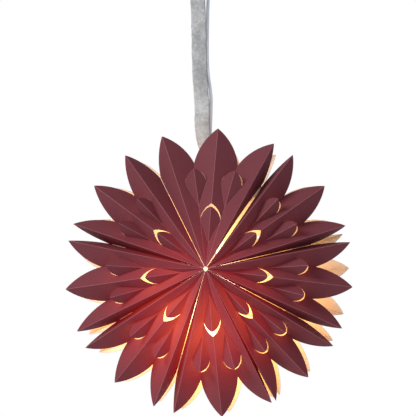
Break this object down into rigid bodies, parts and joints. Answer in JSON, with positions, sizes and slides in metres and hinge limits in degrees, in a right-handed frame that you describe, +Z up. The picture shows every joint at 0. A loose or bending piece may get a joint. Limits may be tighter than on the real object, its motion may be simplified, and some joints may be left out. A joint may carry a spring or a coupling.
{
  "type": "paper star lantern",
  "caption": "Hanging lantern: a pleated and cut paper star, dark red outside and pale inside, around a screw-in lamp, on a ribbon and a cord",
  "frame": {"origin": "centre of the ceiling base's flat top face, which meets the ceiling; the star's centre hangs 0.508 m below it", "axes": "+Z up, the star's front faces -Y, +X is to the right seen from the front"},
  "size_m": [0.4505, 0.212, 0.7332],
  "materials": {
    "burgundy_paper": "matte, dark red outside and cream inside",
    "white_paper": "matte",
    "closure_tape": "napped tape",
    "grey_card": "matte",
    "grey_ribbon": "woven, soft sheen",
    "cord_sleeve": "satin",
    "white_plastic": "satin moulded",
    "bulb_plastic": "satin",
    "nickel_plate": "nickel plated, satin",
    "black_insulator": "gloss black",
    "zinc_steel": "zinc plated",
    "opal_globe": "opal",
    "led_phosphor": "matte"
  },
  "bodies": {
    "ceiling_fixture": {"ceiling_base": "white_plastic", "ceiling_hook": "zinc_steel", "ceiling_cord_bush": "white_plastic", "base_screw_1": "zinc_steel", "base_screw_2": "zinc_steel"},
    "hanging_star": {"front_section_1": "burgundy_paper", "front_section_2": "burgundy_paper", "front_section_3": "burgundy_paper", "front_section_4": "burgundy_paper", "front_section_5": "burgundy_paper", "front_section_6": "burgundy_paper", "front_section_7": "burgundy_paper", "front_section_8": "burgundy_paper", "back_section_1": "burgundy_paper", "back_section_2": "burgundy_paper", "back_section_3": "burgundy_paper", "back_section_4": "burgundy_paper", "back_section_5": "burgundy_paper", "back_section_6": "burgundy_paper", "back_section_7": "burgundy_paper", "back_section_8": "burgundy_paper", "side_tab_2": "white_paper", "side_tab_3": "white_paper", "side_tab_4": "white_paper", "side_tab_5": "white_paper", "side_tab_6": "white_paper", "side_tab_7": "white_paper", "side_tab_8": "white_paper", "seam_hook_strip": "closure_tape", "seam_loop_strip": "closure_tape", "card_hanger": "grey_card", "hanging_ribbon": "grey_ribbon", "lamp_cord": "cord_sleeve", "cord_grip": "white_plastic", "holder_cap": "white_plastic", "holder_skirt": "white_plastic", "holder_insulator": "white_plastic", "contact_shell": "nickel_plate", "contact_spring": "nickel_plate"},
    "shade_ring": {"shade_ring": "white_plastic"},
    "bulb": {"bulb_screw_cap": "nickel_plate", "bulb_insulator": "black_insulator", "bulb_contact": "nickel_plate", "bulb_collar": "bulb_plastic", "bulb_diffuser": "opal_globe", "led_board": "bulb_plastic", "led_ring": "led_phosphor"}
  },
  "joints": [
    {"name": "swing_on_hook", "type": "hinge", "parent": "ceiling_fixture", "child": "hanging_star", "pos_m": [-0.02, -0.002, -0.0455], "axis": [1, 0, 0], "range_deg": [-15, 15], "deforming": ["lamp_cord"]},
    {"name": "ring_turn", "type": "hinge", "parent": "hanging_star", "child": "shade_ring", "pos_m": [-0.01, 0, -0.5], "axis": [0, 0, 1], "continuous": true},
    {"name": "bulb_turn", "type": "hinge", "parent": "hanging_star", "child": "bulb", "pos_m": [-0.01, 0, -0.508], "axis": [0, 0, 1], "continuous": true}
  ]
}
